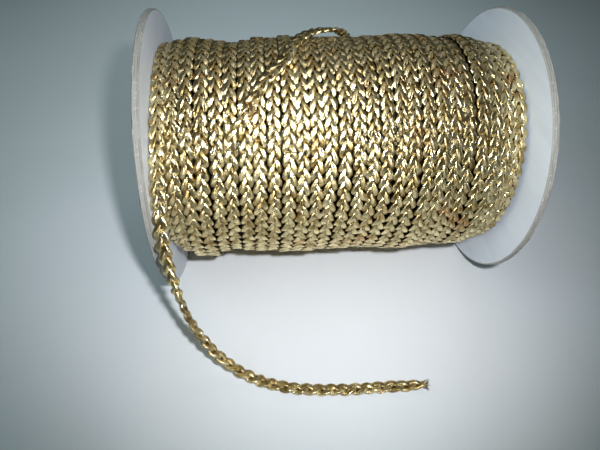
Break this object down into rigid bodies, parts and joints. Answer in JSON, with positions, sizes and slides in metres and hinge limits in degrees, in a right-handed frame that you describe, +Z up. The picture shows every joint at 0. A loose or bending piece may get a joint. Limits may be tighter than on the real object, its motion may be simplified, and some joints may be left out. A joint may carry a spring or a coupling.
{
  "type": "spool of flat braided metallic nylon cord",
  "caption": "Card spool with round flanges, full of a flat three-strand metallic braided cord, lying on its side with one loose end on the surface.",
  "frame": {"origin": "on the surface that the spool lies on, below the middle of the spool", "axes": "+X along the spool's axis, towards the flange away from the loose end; -Y towards the front, where the loose end comes down; +Z up"},
  "size_m": [0.1036, 0.1067, 0.0816],
  "materials": {
    "metallic_cord": "flat three-strand braid of pale gold metallic filament, bright and slightly rough",
    "flange_card": "pale grey pressed card with a cut edge",
    "tube_card": "brown spiral-wound card"
  },
  "bodies": {
    "root": {"flange_left": "flange_card", "flange_right": "flange_card", "spool_tube": "tube_card", "winding": "metallic_cord", "crossing_strand": "metallic_cord", "loose_end": "metallic_cord"}
  },
  "joints": []
}
